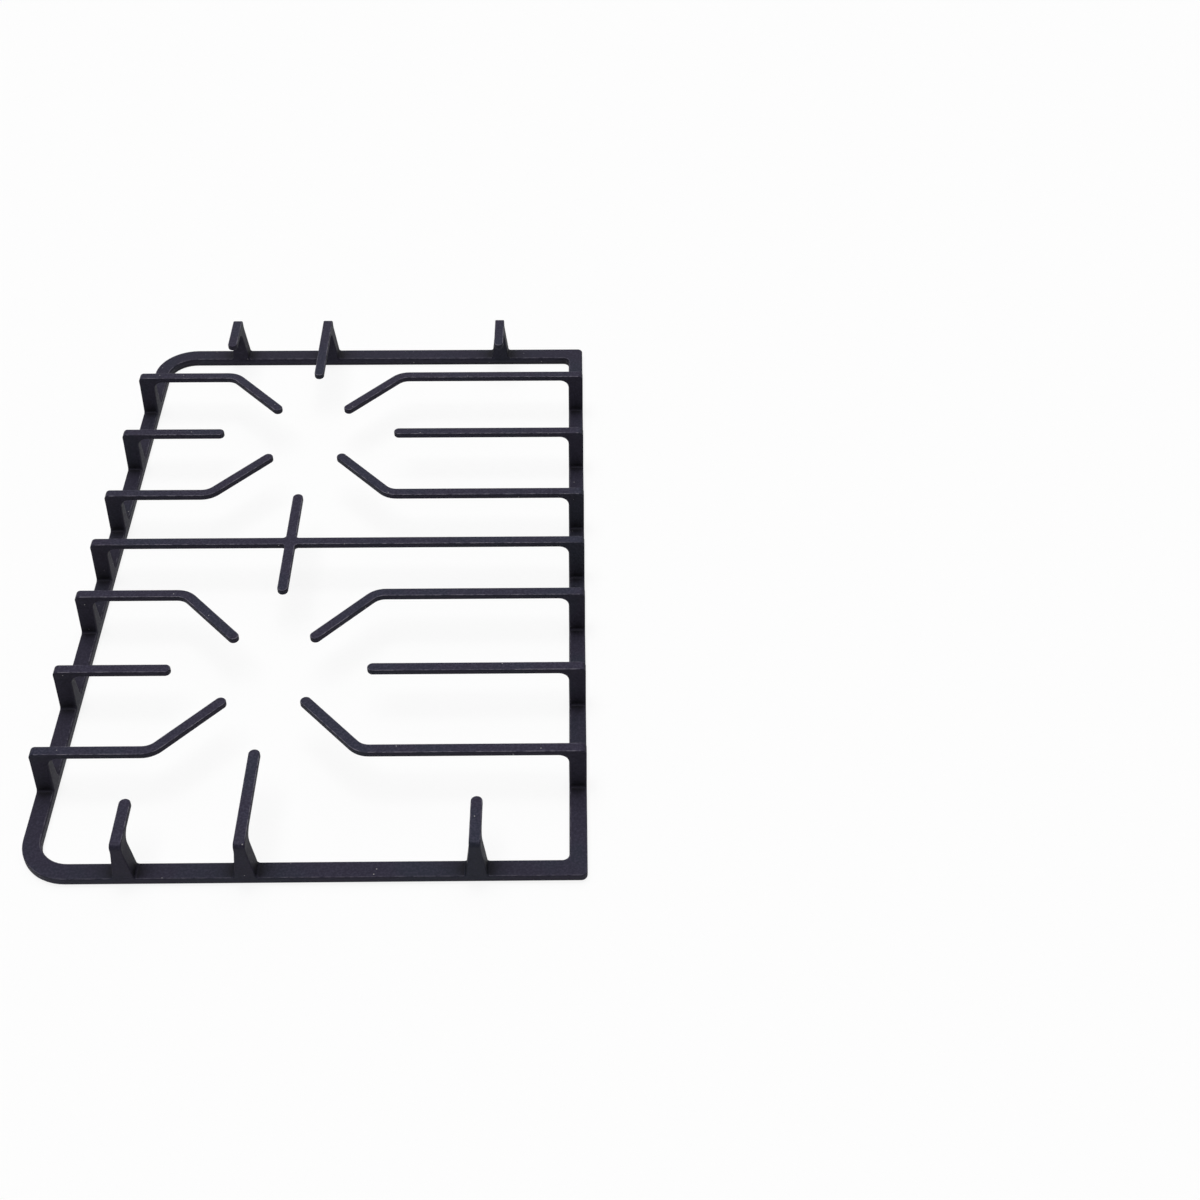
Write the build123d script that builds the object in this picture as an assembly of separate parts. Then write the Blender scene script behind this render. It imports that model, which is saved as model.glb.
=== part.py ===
from build123d import *
import os
from math import isclose

# Overall size in millimetres: X runs across the grate, Y from front to back, Z up from the cooktop
grate_width = 306.0
grate_depth = 480.0
grate_height = 32.4

# Base rail that lies on the cooktop, wider in front and behind, with large corners on the outer side only
rail_width = 9.8
end_rail_width = 11.0
rail_height = 5.4
rail_foot_round = 1.8
outer_corner_radius = 27.5
inner_corner_radius = 3.4
inner_corner_fillet = 4.0

# Section of the fingers
finger_width = 6.4
finger_height = 4.0
finger_bend_radius = 12.0

# Posts that carry the fingers on the rail
post_base_width = 12.4
post_shoulder_round = 3.0
post_root_fillet = 6.0
post_foot_fillet = 1.5
post_waist_drop = 2.0
post_waist_round = 30.0

# Rounded edges of the casting, above and below the fingers
top_edge_round = 0.7
under_edge_round = 1.2

# Burners: their shared distance from the middle of the grate, and from each other
burner_offset = -29.3
burner_spacing = 219.4

# Fingers around each burner, as distances from the burner's middle
bent_row_offset = 62.8
bend_reach = 57.2
bent_tip_reach = 32.5
straight_tip_reach = 56.4
end_tip_reach = 62.6
cross_tip_reach = 64.4
cross_bar_fillet = 2.0

# Short fingers on the front and back rails, set in from each side
short_finger_length = 33.1
short_finger_inset = 59.2

# Values that follow from the sizes above
half_width = grate_width / 2
half_depth = grate_depth / 2
half_finger = finger_width / 2
burner_y = burner_spacing / 2
finger_under = grate_height - finger_height
finger_start = post_shoulder_round + half_finger


def base_ring():
    """Flat ring of rail: the corner radii differ between the outer and the inner side."""
    outline = Rectangle(grate_width, grate_depth)
    outline = fillet(outline.vertices().group_by(Axis.X)[0], outer_corner_radius)
    outline = fillet(outline.vertices().group_by(Axis.X)[-1], inner_corner_radius)
    window = Rectangle(grate_width - 2 * rail_width, grate_depth - 2 * end_rail_width)
    window = fillet(window.vertices().group_by(Axis.X)[0], outer_corner_radius - rail_width)
    window = fillet(window.vertices().group_by(Axis.X)[-1], inner_corner_fillet)
    ring = extrude(outline - window, amount=rail_height)
    foot = ring.faces().sort_by(Axis.Z)[0]
    return fillet(foot.outer_wire().edges(), rail_foot_round)


def post(depth):
    """Post at the origin: its outer face at X 0, as deep as its rail, flaring towards its base."""
    root_end = depth + post_root_fillet
    side = make_face(Polyline(
        (0, rail_foot_round), (0, grate_height), (root_end, grate_height),
        (root_end, finger_under), (depth, finger_under), (depth, rail_foot_round), close=True))
    side = fillet(side.vertices().sort_by_distance((0, grate_height))[0], post_shoulder_round)
    side = fillet(side.vertices().sort_by_distance((depth, finger_under))[0], post_root_fillet)

    half_base = post_base_width / 2
    waist = finger_under - post_waist_drop
    front = make_face(Polyline(
        (half_base, rail_foot_round), (half_finger, waist), (half_finger, grate_height),
        (-half_finger, grate_height), (-half_finger, waist), (-half_base, rail_foot_round), close=True))
    waist_corners = front.vertices().sort_by_distance((0, waist))[:2]
    front = fillet(waist_corners, post_waist_round)
    across = extrude(Plane.XZ * side, amount=post_base_width, both=True)
    along = extrude(Plane.YZ * front, amount=root_end)
    return across & along


def raised_bar(plan):
    """Bar at finger height with the given outline seen from above."""
    return extrude(Plane.XY.offset(finger_under) * plan, amount=finger_height)


def finger_plan(*points):
    """Outline of a finger seen from above, along a path that ends at the rounded tip."""
    path = Line(*points) if len(points) == 2 else FilletPolyline(*points, radius=finger_bend_radius)
    outline = Wire(path.edges()).offset_2d(half_finger, kind=Kind.ARC, side=Side.BOTH)
    return make_face(outline.edges())


def straight_arm(reach, depth):
    """Post of a depth, with a straight finger whose tip lies at a reach from the post's outer face."""
    return post(depth) + raised_bar(finger_plan((finger_start, 0), (reach - half_finger, 0)))


def bent_arm(to_burner, turn):
    """Post with a finger that bends and aims at the burner: turn is 1 for left and -1 for right."""
    aim = Vector(bend_reach, turn * bent_row_offset)
    bend = Vector(to_burner - bend_reach, 0)
    end = bend + aim * (1 - (bent_tip_reach + half_finger) / aim.length)
    return post(rail_width) + raised_bar(finger_plan((finger_start, 0), bend, end))


def on_rail(arm, rail, along):
    """Move an arm from the origin to one of the four rails, at a place along that rail."""
    places = {
        "outer": Location((-half_width, along, 0), (0, 0, 0)),
        "inner": Location((half_width, along, 0), (0, 0, 180)),
        "front": Location((along, -half_depth, 0), (0, 0, 90)),
        "back": Location((along, half_depth, 0), (0, 0, -90)),
    }
    return places[rail] * arm


def burner_arms(burner):
    """The six arms on the side rails that aim at the burner at this Y."""
    arms = []
    sides = (("outer", half_width + burner_offset, 1), ("inner", half_width - burner_offset, -1))
    for rail, to_burner, side in sides:
        arms.append(on_rail(straight_arm(to_burner - straight_tip_reach, rail_width), rail, burner))
        for row in (1, -1):
            arm = bent_arm(to_burner, -row * side)
            arms.append(on_rail(arm, rail, burner + row * bent_row_offset))
    return arms


def end_arms(rail):
    """The three straight arms on the front or the back rail, the long one on the burners' line."""
    long_arm = straight_arm(half_depth - burner_y - end_tip_reach, end_rail_width)
    short_arm = straight_arm(short_finger_length, end_rail_width)
    return [
        on_rail(short_arm, rail, short_finger_inset - half_width),
        on_rail(long_arm, rail, burner_offset),
        on_rail(short_arm, rail, half_width - short_finger_inset),
    ]


def middle_bar():
    """Bar from rail to rail between the burners, with a cross bar on the burners' line."""
    cross_length = 2 * (burner_y - cross_tip_reach)
    cross = Pos(burner_offset, 0) * SlotOverall(cross_length, finger_width, rotation=90)
    plan = Rectangle(grate_width - 2 * finger_start, finger_width) + cross
    crossing = plan.vertices().sort_by_distance((burner_offset, 0))[:4]
    plan = fillet(crossing, cross_bar_fillet)
    posts = on_rail(post(rail_width), "outer", 0) + on_rail(post(rail_width), "inner", 0)
    return posts + raised_bar(plan)


def same_length(first, second):
    """True where two lengths agree to a thousandth of a millimetre."""
    return isclose(first, second, abs_tol=0.001)


def with_foot_fillets(casting):
    """Soften the corners where the sides of the posts meet the flat top of the rail."""
    rail_top = casting.edges().filter_by(lambda edge: same_length(edge.center().Z, rail_height))
    lines = rail_top.filter_by(GeomType.LINE)
    widths = {rail_width, end_rail_width}
    feet = [edge for edge in lines if any(same_length(edge.length, width) for width in widths)]
    return fillet(feet, post_foot_fillet)


def finger_tips(casting, level):
    """Tip edges of the fingers on one level, counted down from the top of the casting."""
    faces = casting.faces().filter_by(Plane.XY).group_by(Axis.Z)[-level]
    arcs = faces.edges().filter_by(GeomType.CIRCLE)
    return arcs.filter_by(lambda edge: same_length(edge.radius, half_finger))


def with_rounded_edges(casting):
    """Round the edges: from each tip the round runs along the finger, down its post and along the rail."""
    casting = fillet(finger_tips(casting, level=1), top_edge_round)
    return fillet(finger_tips(casting, level=2), under_edge_round)


arms = burner_arms(burner_y) + burner_arms(-burner_y)
arms += end_arms("front") + end_arms("back")
casting = base_ring().fuse(middle_bar(), *arms).clean()
grate = with_rounded_edges(with_foot_fillets(casting))

os.makedirs("parts", exist_ok=True)
export_step(grate, "parts/grate.step")
print("grate", len(grate.solids()), "solid,", round(grate.volume / 1000, 1), "cubic centimetres")
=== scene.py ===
# %% [markdown]
# # A range grate, dressed for a product picture
# The grate is one iron casting with a satin charcoal enamel on it. Its shape comes from the packed
# CAD model, which arrives as a mesh in metres that is never moved or edited. What is left for
# Blender is the finish, the light, the ground it lies on, and a camera at the picture's angle.

# %% Load the casting
import bpy
from math import pi, radians
from mathutils import Matrix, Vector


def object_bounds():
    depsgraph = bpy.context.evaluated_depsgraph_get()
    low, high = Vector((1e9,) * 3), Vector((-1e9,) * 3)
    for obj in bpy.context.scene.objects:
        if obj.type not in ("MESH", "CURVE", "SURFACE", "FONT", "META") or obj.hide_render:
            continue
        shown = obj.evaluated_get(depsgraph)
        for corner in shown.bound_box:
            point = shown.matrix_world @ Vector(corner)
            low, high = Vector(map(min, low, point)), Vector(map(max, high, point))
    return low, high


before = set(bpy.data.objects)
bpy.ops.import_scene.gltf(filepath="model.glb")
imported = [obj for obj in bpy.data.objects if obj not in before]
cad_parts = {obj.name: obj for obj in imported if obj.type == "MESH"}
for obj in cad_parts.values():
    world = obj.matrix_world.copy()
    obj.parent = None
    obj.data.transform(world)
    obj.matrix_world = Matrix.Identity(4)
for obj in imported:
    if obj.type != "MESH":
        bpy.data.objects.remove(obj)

MM_PER_METRE = 1000.0
cad_low, cad_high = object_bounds()
cad_size_mm = [MM_PER_METRE * (high - low) for low, high in zip(cad_low, cad_high)]
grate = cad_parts["grate"]
print("grate:", len(grate.data.polygons), "faces, size in mm:", [round(size, 1) for size in cad_size_mm])

# %% [markdown]
# ## Helpers for node trees
# Everything below is a small network of nodes. A few helpers keep that readable: they add a node and set
# its values, start a group or a material, and write sums, ramps and blends of colour in one line each.

# %% Helpers for node trees
def add_node(tree, kind, values=None, **settings):
    """Add a node to a tree, with its settings and the values of its unlinked inputs."""
    node = tree.nodes.new(kind)
    for name, value in settings.items():
        setattr(node, name, value)
    for name, value in (values or {}).items():
        node.inputs[name].default_value = value
    return node


def new_group(name, inputs, outputs, kind="ShaderNodeTree"):
    """Make a node group with named inputs and outputs, and return it with both of its end nodes."""
    tree = bpy.data.node_groups.new(name, kind)
    for socket, socket_type in inputs:
        tree.interface.new_socket(socket, in_out="INPUT", socket_type=socket_type)
    for socket, socket_type in outputs:
        tree.interface.new_socket(socket, in_out="OUTPUT", socket_type=socket_type)
    return tree, tree.nodes.new("NodeGroupInput"), tree.nodes.new("NodeGroupOutput")


def new_material(name):
    """Make a material with an empty node tree and an output node."""
    material = bpy.data.materials.new(name)
    material.use_nodes = True
    material.node_tree.nodes.clear()
    return material, material.node_tree, add_node(material.node_tree, "ShaderNodeOutputMaterial")


def calculate(tree, operation, *terms):
    """Add a Math node. Each term is a number or the output of another node."""
    node = add_node(tree, "ShaderNodeMath", operation=operation)
    for socket, term in zip(node.inputs, terms):
        if isinstance(term, (int, float)):
            socket.default_value = term
        else:
            tree.links.new(term, socket)
    return node.outputs["Value"]


def ramp(tree, value, begin, finish, low=0.0, high=1.0):
    """Add a smooth ramp that goes from low to high while a value goes from begin to finish."""
    limits = {"From Min": begin, "From Max": finish, "To Min": low, "To Max": high}
    node = add_node(tree, "ShaderNodeMapRange", limits, interpolation_type="SMOOTHSTEP")
    tree.links.new(value, node.inputs["Value"])
    return node.outputs["Result"]


def blend(tree, factor, first, second):
    """Mix two colours. Each is a plain colour or the output of another node."""
    node = add_node(tree, "ShaderNodeMix", data_type="RGBA")
    tree.links.new(factor, node.inputs["Factor"])
    for name, colour in (("A", first), ("B", second)):
        socket = next(s for s in node.inputs if s.name == name and s.type == "RGBA")
        if isinstance(colour, tuple):
            socket.default_value = colour
        else:
            tree.links.new(colour, socket)
    return next(s for s in node.outputs if s.type == "RGBA")


print("helpers ready: add_node, new_group, new_material, calculate, ramp, blend")

# %% [markdown]
# ## Shading the rounded edges
# The mesh comes in patches, one for each face of the CAD solid, so the light breaks at every seam.
# Two modifiers mend that without touching the stored mesh. A small Geometry Nodes tree joins the
# patches and shades them smooth. Weighted normals then let the large flat faces decide the shading:
# flats stay flat, and the rounded edges turn softly between them, as on a casting coated with glass.

# %% Join the patches and weight the normals
JOIN_DISTANCE = 0.000002
FLATS_WEIGHT = 100


def build_joined_patches():
    """Geometry Nodes tree that merges the seams of a mesh and shades it smooth."""
    mesh = [("Mesh", "NodeSocketGeometry")]
    tree, start, end = new_group("joined_patches", mesh, mesh, "GeometryNodeTree")
    merge = add_node(tree, "GeometryNodeMergeByDistance", {"Distance": JOIN_DISTANCE})
    smooth = add_node(tree, "GeometryNodeSetShadeSmooth")
    tree.links.new(start.outputs["Mesh"], merge.inputs["Geometry"])
    tree.links.new(merge.outputs["Geometry"], smooth.inputs["Geometry"])
    tree.links.new(smooth.outputs["Geometry"], end.inputs["Mesh"])
    return tree


def soften_casting(casting):
    """Join the patches of a casting and shade it smoothly, flats first."""
    joined = casting.modifiers.new("joined_patches", "NODES")
    joined.node_group = build_joined_patches()
    normals = casting.modifiers.new("flats_first", "WEIGHTED_NORMAL")
    normals.mode = "FACE_AREA"
    normals.weight = FLATS_WEIGHT
    normals.keep_sharp = False


soften_casting(grate)
joined_mesh = grate.evaluated_get(bpy.context.evaluated_depsgraph_get()).data
print("vertices:", len(grate.data.vertices), "in patches,", len(joined_mesh.vertices), "joined")

# %% [markdown]
# ## The skin of a sand casting under enamel
# Sand leaves a fine grain in the iron, and the enamel that melts over it settles in soft waves, like
# the skin of an orange. Three layers of noise give both: waves some millimetres long, grain of about a
# millimetre, and slow clouds for the places where the coat came out thicker. A sculpted surface would
# need millions of faces for this, so the grain goes into the Bump height and the clouds into colour.
# A few pale specks, as dust leaves in a fired coat, come from the points of a Voronoi texture.

# %% Grain, waves and specks
LENGTHS_MM = {"grain": 1.4, "wave": 5.0, "cloud": 45.0}
NOISE_LAYERS = {"Detail": 3.0, "Roughness": 0.6}
SPECK_SPACING_MM = 8.0
SPECK_RADIUS_MM = 0.45
SPECK_CORE = 0.5


def build_cast_skin():
    """Group that turns a position in millimetres into a height and the masks of the skin."""
    masks = ("Height", "Grain", "Wave", "Cloud", "Speck")
    tree, start, end = new_group(
        "cast_skin",
        [("Position", "NodeSocketVector"), ("Grain share", "NodeSocketFloat")],
        [(mask, "NodeSocketFloat") for mask in masks])
    noises = {}
    for layer, length in LENGTHS_MM.items():
        noise = add_node(tree, "ShaderNodeTexNoise", {"Scale": 1.0 / length, **NOISE_LAYERS})
        tree.links.new(start.outputs["Position"], noise.inputs["Vector"])
        noises[layer] = noise.outputs["Fac"]
        tree.links.new(noises[layer], end.inputs[layer.capitalize()])
    height = add_node(tree, "ShaderNodeMix", data_type="FLOAT")
    tree.links.new(start.outputs["Grain share"], height.inputs["Factor"])
    tree.links.new(noises["wave"], height.inputs["A"])
    tree.links.new(noises["grain"], height.inputs["B"])
    tree.links.new(height.outputs["Result"], end.inputs["Height"])
    points = add_node(tree, "ShaderNodeTexVoronoi", {"Scale": 1.0 / SPECK_SPACING_MM})
    tree.links.new(start.outputs["Position"], points.inputs["Vector"])
    radius = SPECK_RADIUS_MM / SPECK_SPACING_MM
    speck = ramp(tree, points.outputs["Distance"], radius, SPECK_CORE * radius)
    tree.links.new(speck, end.inputs["Speck"])
    return tree


cast_skin = build_cast_skin()
print("cast_skin:", ", ".join(f"{name} {length} mm" for name, length in LENGTHS_MM.items()))

# %% [markdown]
# ## Tops and edges
# Pans scuff the tops of the fingers, and dust settles on every upward face, so these are a little paler
# than the sides, and the paler tops also stand in for the light from above, as painted light. The rounded
# edges beside the tops get a thin, pale line: a painted highlight, where an overhead light would glint.
# Both follow the slope of the surface, which the group reads from the normal: the same from every
# viewpoint. The wide shoulders and the feet of the posts slope too, so the painted highlight is kept to
# the levels where the fine edges are and off the outer rim. The rail gets less of both: pans don't scuff
# it, and it gets painted shade under the fingers.

# %% Paler tops, painted highlights on edges
EDGE_SLOPES = (0.55, 0.78, 0.96, 0.995)
TOP_SLOPES = (0.70, 0.98)
EDGE_LEVELS_MM = {"rail": 5.45, "fingers": 31.2}
SHOULDER_REACH_MM = 3.2
RAIL_SHARE = 0.45


def build_tops_and_edges(half_width, half_depth):
    """Group that marks upward faces and their rounded edges, from the normal and the position."""
    tree, start, end = new_group(
        "tops_and_edges",
        [("Normal", "NodeSocketVector"), ("Position", "NodeSocketVector")],
        [("Top", "NodeSocketFloat"), ("Edge", "NodeSocketFloat")])
    slope = add_node(tree, "ShaderNodeSeparateXYZ")
    place = add_node(tree, "ShaderNodeSeparateXYZ")
    tree.links.new(start.outputs["Normal"], slope.inputs["Vector"])
    tree.links.new(start.outputs["Position"], place.inputs["Vector"])
    x, y, z = (place.outputs[axis] for axis in "XYZ")
    # the rail gets a smaller share of the paler tops and the painted highlight: pans don't scuff it, and it
    # is partly painted shade under the fingers
    use = ramp(tree, z, EDGE_LEVELS_MM["rail"], EDGE_LEVELS_MM["fingers"], RAIL_SHARE, 1.0)
    top = calculate(tree, "MULTIPLY", ramp(tree, slope.outputs["Z"], *TOP_SLOPES), use)
    tree.links.new(top, end.inputs["Top"])

    # the painted highlight line sits on the slopes where an overhead light would glint, at the rail and
    # finger levels
    rise = ramp(tree, slope.outputs["Z"], EDGE_SLOPES[0], EDGE_SLOPES[1])
    fall = ramp(tree, slope.outputs["Z"], EDGE_SLOPES[3], EDGE_SLOPES[2])
    to_side = calculate(tree, "SUBTRACT", half_width, calculate(tree, "ABSOLUTE", x))
    to_end = calculate(tree, "SUBTRACT", half_depth, calculate(tree, "ABSOLUTE", y))
    off_rim = calculate(tree, "GREATER_THAN", calculate(tree, "MINIMUM", to_side, to_end), SHOULDER_REACH_MM)
    on_rail = calculate(tree, "LESS_THAN", z, EDGE_LEVELS_MM["rail"])
    on_fingers = calculate(tree, "GREATER_THAN", z, EDGE_LEVELS_MM["fingers"])
    highlight_levels = calculate(tree, "MAXIMUM", on_rail, calculate(tree, "MULTIPLY", on_fingers, off_rim))
    edge = calculate(tree, "MULTIPLY", calculate(tree, "MULTIPLY", rise, fall), highlight_levels)
    tree.links.new(calculate(tree, "MULTIPLY", edge, use), end.inputs["Edge"])
    return tree


tops_and_edges = build_tops_and_edges(cad_size_mm[0] / 2, cad_size_mm[1] / 2)
print("tops_and_edges: pale between upward slopes", EDGE_SLOPES[1], "and", EDGE_SLOPES[2])

# %% [markdown]
# ## Satin charcoal enamel
# The coat is glass with black pigment, fired onto the iron. It is almost black with a little violet,
# and fine matting crystals make its gloss satin. The colours are layered from the coat outwards: clouds
# from violet to blue, grain, paler tops (scuffs and dust, partly painted light), a painted highlight line
# on the edges, specks, and painted shade in the corners where posts and rails meet. The Ambient
# Occlusion node finds those corners from the shape alone, so none is placed one by one.

# %% Enamel on the casting
COAT_VIOLET = (0.0140, 0.0122, 0.0240, 1.0)
COAT_BLUE = (0.0120, 0.0148, 0.0245, 1.0)
# paler tops: partly pan scuffs and dust, partly painted light from above
SCUFF_AND_LIGHT_VIOLET = (0.0160, 0.0130, 0.0290, 1.0)
SCUFF_AND_LIGHT_BLUE = (0.0125, 0.0155, 0.0300, 1.0)
GRAIN_PALE = (0.0480, 0.0450, 0.0720, 1.0)
# painted highlight: a pale line on the rounded edges beside the tops, where an overhead light would glint
PAINTED_EDGE_HIGHLIGHT = (0.1400, 0.1300, 0.1600, 1.0)
SPECK_PALE = (0.3000, 0.2900, 0.2900, 1.0)
# painted shade: near-black that darkens the corners and creases where posts, rails and fingers meet
PAINTED_CORNER_SHADE = (0.0015, 0.0014, 0.0020, 1.0)
CLOUD_STEP = (0.45, 0.65)
GRAIN_STEP = (0.40, 0.66, 0.0, 0.62)
GRAIN_ON_SIDES = 0.45
EDGE_BREAKS = (0.38, 0.62, 0.15, 1.0)
# how strongly, how far and with how many rays the painted corner shade is found
CORNER_SHADE_STEP = (0.98, 0.60)
CORNER_SHADE_REACH = 0.045
CORNER_SHADE_SAMPLES = 8
SATIN_SPECULAR = 0.18
SPECULAR_TINT = (0.88, 0.85, 1.0, 1.0)
GRAIN_SHARE = 0.6
GLOSS_STEP = (0.30, 0.70, 0.46, 0.60)
SIDE_MATTING = 0.12
BUMP_DEPTH = 0.00018


def build_enamel():
    """Material of the whole casting."""
    material, tree, output = new_material("enamelled_iron")
    coordinates = add_node(tree, "ShaderNodeTexCoord")
    place = add_node(tree, "ShaderNodeVectorMath", operation="SCALE")
    place.inputs["Scale"].default_value = MM_PER_METRE
    tree.links.new(coordinates.outputs["Object"], place.inputs[0])
    skin = add_node(tree, "ShaderNodeGroup", {"Grain share": GRAIN_SHARE}, node_tree=cast_skin)
    tree.links.new(place.outputs["Vector"], skin.inputs["Position"])
    surface = add_node(tree, "ShaderNodeNewGeometry")
    form = add_node(tree, "ShaderNodeGroup", node_tree=tops_and_edges)
    tree.links.new(surface.outputs["Normal"], form.inputs["Normal"])
    tree.links.new(place.outputs["Vector"], form.inputs["Position"])
    # ambient occlusion finds the corners that get the painted shade
    corners = add_node(tree, "ShaderNodeAmbientOcclusion", {"Distance": CORNER_SHADE_REACH},
                       samples=CORNER_SHADE_SAMPLES, only_local=True)

    cloud = ramp(tree, skin.outputs["Cloud"], *CLOUD_STEP)
    coat = blend(tree, cloud, COAT_VIOLET, COAT_BLUE)
    # paler tops: partly scuffs and dust, partly painted light from above
    scuff_and_light = blend(tree, cloud, SCUFF_AND_LIGHT_VIOLET, SCUFF_AND_LIGHT_BLUE)
    colour = blend(tree, form.outputs["Top"], coat, scuff_and_light)
    grain_share = ramp(tree, form.outputs["Top"], 0.0, 1.0, GRAIN_ON_SIDES, 1.0)
    grain = calculate(tree, "MULTIPLY", ramp(tree, skin.outputs["Grain"], *GRAIN_STEP), grain_share)
    colour = blend(tree, grain, colour, GRAIN_PALE)
    broken = ramp(tree, skin.outputs["Wave"], *EDGE_BREAKS)
    # painted highlight: the pale line along the rounded edges, broken up by the waves
    colour = blend(tree, calculate(tree, "MULTIPLY", form.outputs["Edge"], broken), colour, PAINTED_EDGE_HIGHLIGHT)
    colour = blend(tree, skin.outputs["Speck"], colour, SPECK_PALE)
    # painted shade: the colour darkens towards near-black where ambient occlusion finds a corner
    colour = blend(tree, ramp(tree, corners.outputs["AO"], *CORNER_SHADE_STEP), colour, PAINTED_CORNER_SHADE)

    bump = add_node(tree, "ShaderNodeBump", {"Strength": 1.0, "Distance": BUMP_DEPTH})
    tree.links.new(skin.outputs["Height"], bump.inputs["Height"])
    enamel = add_node(tree, "ShaderNodeBsdfPrincipled", {
        "Metallic": 0.0, "Specular IOR Level": SATIN_SPECULAR, "Specular Tint": SPECULAR_TINT})
    tree.links.new(colour, enamel.inputs["Base Color"])
    matting = ramp(tree, form.outputs["Top"], 0.0, 1.0, SIDE_MATTING, 0.0)
    roughness = calculate(tree, "ADD", ramp(tree, skin.outputs["Grain"], *GLOSS_STEP), matting)
    tree.links.new(roughness, enamel.inputs["Roughness"])
    tree.links.new(bump.outputs["Normal"], enamel.inputs["Normal"])
    tree.links.new(enamel.outputs["BSDF"], output.inputs["Surface"])
    return material


enamel = build_enamel()
grate.data.materials.clear()
grate.data.materials.append(enamel)
print("enamel:", len(enamel.node_tree.nodes), "nodes, roughness from", GLOSS_STEP[2], "to", GLOSS_STEP[3])

# %% [markdown]
# ## The ground it lies on
# The picture has a plain white ground. A large pale sheet just under the grate gives that, and being a
# real surface it takes the soft shadow, and shows in the gloss of the faces that look down at it. Paper
# under soft light photographs a little grey, so part of what the camera and the gloss see of it is
# plain white. The light that it throws back at the grate is only that of the paper. A low round wall far
# behind closes the view where a camera looks along the ground. It shows to the camera and in the gloss,
# and lights nothing else.

# %% White ground
GROUND_SIZE = 14.0
WALL_RADIUS = 6.0
WALL_HEIGHT = 1.6
WALL_SIDES = 96
GROUND_COLOUR = (0.90, 0.90, 0.90, 1.0)
GROUND_WHITE_SHARE = 0.85


def build_white_paper():
    """Pale paper, partly plain white where the camera or a reflection sees it."""
    material, tree, output = new_material("white_paper")
    paper = add_node(tree, "ShaderNodeBsdfDiffuse", {"Color": GROUND_COLOUR})
    white = add_node(tree, "ShaderNodeEmission", {"Strength": 1.0})
    rays = add_node(tree, "ShaderNodeLightPath")
    seen = calculate(tree, "MAXIMUM", rays.outputs["Is Camera Ray"], rays.outputs["Is Glossy Ray"])
    seen = calculate(tree, "MAXIMUM", seen, rays.outputs["Is Transmission Ray"])
    both = add_node(tree, "ShaderNodeMixShader")
    tree.links.new(calculate(tree, "MULTIPLY", seen, GROUND_WHITE_SHARE), both.inputs["Fac"])
    tree.links.new(paper.outputs["BSDF"], both.inputs[1])
    tree.links.new(white.outputs["Emission"], both.inputs[2])
    tree.links.new(both.outputs["Shader"], output.inputs["Surface"])
    return material


def build_ground(level):
    """Flat sheet at a height, under the grate, which it isn't part of."""
    bpy.ops.mesh.primitive_plane_add(size=GROUND_SIZE, location=(0.0, 0.0, level))
    sheet = bpy.context.active_object
    sheet.name = "ground_sheet"
    sheet.data.materials.append(build_white_paper())
    return sheet


def build_far_wall(level):
    """Plain white wall around the ground, left out of diffuse light and shadows."""
    material, tree, output = new_material("white_wall")
    white = add_node(tree, "ShaderNodeEmission", {"Strength": 1.0})
    tree.links.new(white.outputs["Emission"], output.inputs["Surface"])
    bpy.ops.mesh.primitive_cylinder_add(
        vertices=WALL_SIDES, radius=WALL_RADIUS, depth=WALL_HEIGHT, end_fill_type="NOTHING",
        location=(0.0, 0.0, level + WALL_HEIGHT / 2))
    wall = bpy.context.active_object
    wall.name = "far_wall"
    wall.visible_diffuse = False
    wall.visible_shadow = False
    wall.data.materials.append(material)
    return wall


ground = build_ground(cad_low.z)
far_wall = build_far_wall(cad_low.z)
print("ground:", ground.name, "at height", round(ground.location.z, 5))
print("wall:", far_wall.name, "in", WALL_SIDES, "sides,", WALL_RADIUS, "m away")

# %% [markdown]
# ## Soft light
# Products like this are lit from above by a wide soft box, with a second one behind, and the camera's
# side of the room left darker, so that each face of a bar gets its own grey. A sun lamp with a very wide
# disk does the work of a box and lights the ground evenly. A dim world fills what the two leave.

# %% Lamps and world
SOFT_BOXES = {
    "overhead_soft_box": {"level": 0.72, "spread": 45, "tilt": (0, -6)},
    "back_soft_box": {"level": 0.28, "spread": 60, "tilt": (-32, 0)},
}
ROOM_LEVEL = 0.03


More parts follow.
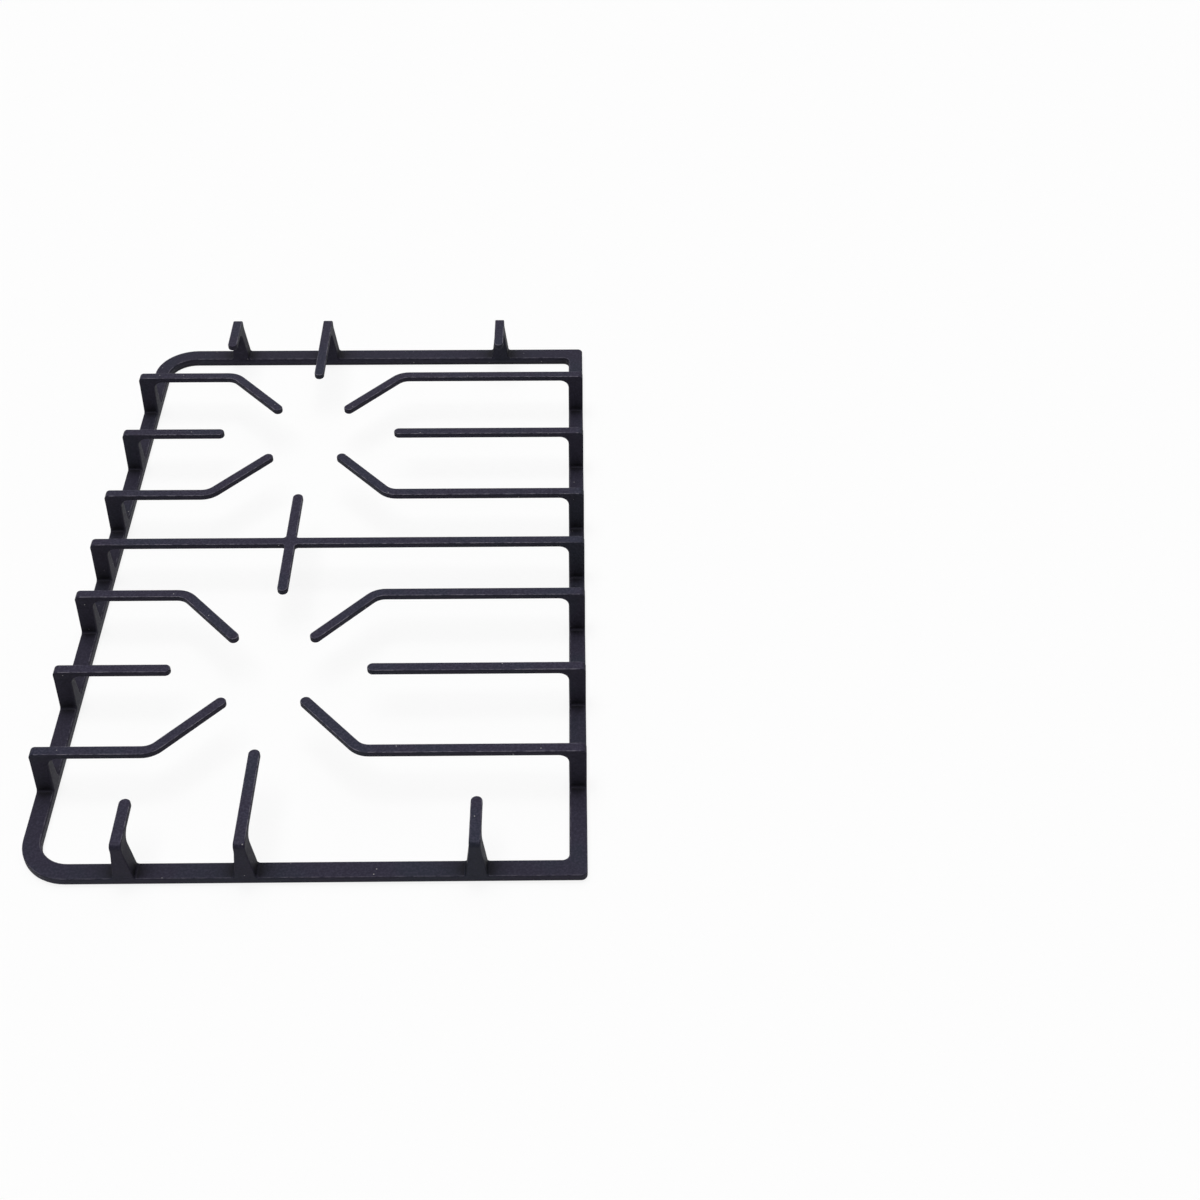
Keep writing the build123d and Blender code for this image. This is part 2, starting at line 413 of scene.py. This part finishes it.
def build_soft_box(name, level, spread, tilt):
    """A wide even light. Its level is what a white sheet that faces it would show."""
    lamp = bpy.data.lights.new(name, "SUN")
    lamp.energy = level * pi
    lamp.angle = radians(spread)
    box = bpy.data.objects.new(name, lamp)
    box.rotation_euler = (radians(tilt[0]), radians(tilt[1]), 0.0)
    bpy.context.scene.collection.objects.link(box)
    return box


def build_room():
    """A dim, even world that fills what the soft boxes leave."""
    room = bpy.data.worlds.new("studio_room")
    room.use_nodes = True
    background = room.node_tree.nodes["Background"]
    background.inputs["Color"].default_value = (1.0, 1.0, 1.0, 1.0)
    background.inputs["Strength"].default_value = ROOM_LEVEL
    bpy.context.scene.world = room
    return room


build_room()
for name, values in SOFT_BOXES.items():
    box = build_soft_box(name, **values)
    print(name, "shines from", [round(v, 2) for v in box.rotation_euler.to_matrix().col[2]])
bpy.context.scene.view_settings.view_transform = "Standard"

# %% [markdown]
# ## The camera
# The picture looks down at the grate from the front, with the grate in the left half of a square frame.
# Lines of the grate that run to the back draw together, and how fast they do fixes where the camera
# stands and how long its lens is. Pitch, turn and roll are in degrees, and the place is in metres.

# %% Camera
CAMERA_PLACE = (0.148296, -0.823068, 0.759506)
CAMERA_PITCH = radians(43.434)
CAMERA_TURN = radians(-1.015)
CAMERA_ROLL = radians(0.335)
LENS_MM = 53.016
SENSOR_MM = 36.0


def build_camera():
    """Camera that looks along +Y and down by the pitch, then turned about Z and rolled about its view."""
    data = bpy.data.cameras.new("picture_camera")
    data.lens = LENS_MM
    data.sensor_width = SENSOR_MM
    data.sensor_fit = "HORIZONTAL"
    camera = bpy.data.objects.new("picture_camera", data)
    turn = Matrix.Rotation(CAMERA_TURN, 4, "Z")
    tilt = Matrix.Rotation(radians(90) - CAMERA_PITCH, 4, "X")
    roll = Matrix.Rotation(CAMERA_ROLL, 4, "Z")
    camera.matrix_world = Matrix.Translation(CAMERA_PLACE) @ turn @ tilt @ roll
    bpy.context.scene.collection.objects.link(camera)
    bpy.context.scene.camera = camera
    return camera


camera = build_camera()
print("camera at", [round(v, 3) for v in camera.matrix_world.translation], "with a lens of", LENS_MM, "mm")
